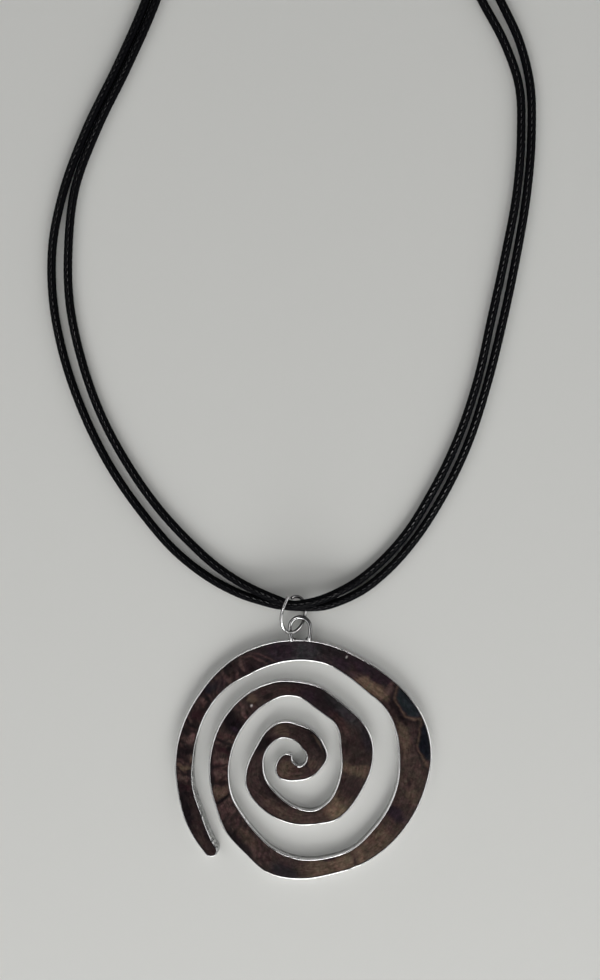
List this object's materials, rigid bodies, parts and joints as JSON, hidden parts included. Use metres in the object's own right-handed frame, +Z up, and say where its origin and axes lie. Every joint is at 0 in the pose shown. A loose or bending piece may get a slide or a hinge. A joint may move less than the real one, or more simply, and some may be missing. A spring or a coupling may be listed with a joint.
{
  "type": "spiral pendant on a cord necklace",
  "caption": "Broad open spiral pendant with a polished brown face and bright rims, hung by a wire loop and a jump ring on a black braided cord necklace with a plain clasp.",
  "frame": {"origin": "middle of the pendant and its jump ring in plan, on the surface that the necklace lies on", "axes": "+Z up, out of the pendant's polished face; +Y from the pendant towards the clasp; +X to the right as the face is seen"},
  "size_m": [0.1076, 0.2435, 0.0068],
  "materials": {
    "spiral": "high polish, mottled brown face with bright metal rims",
    "bright_metal": "polished",
    "cord": "braided and waxed, satin"
  },
  "bodies": {
    "root": {"spiral_pendant": "spiral", "jump_ring": "bright_metal", "cord_inner": "cord", "cord_outer": "cord", "clasp": "bright_metal"}
  },
  "joints": []
}
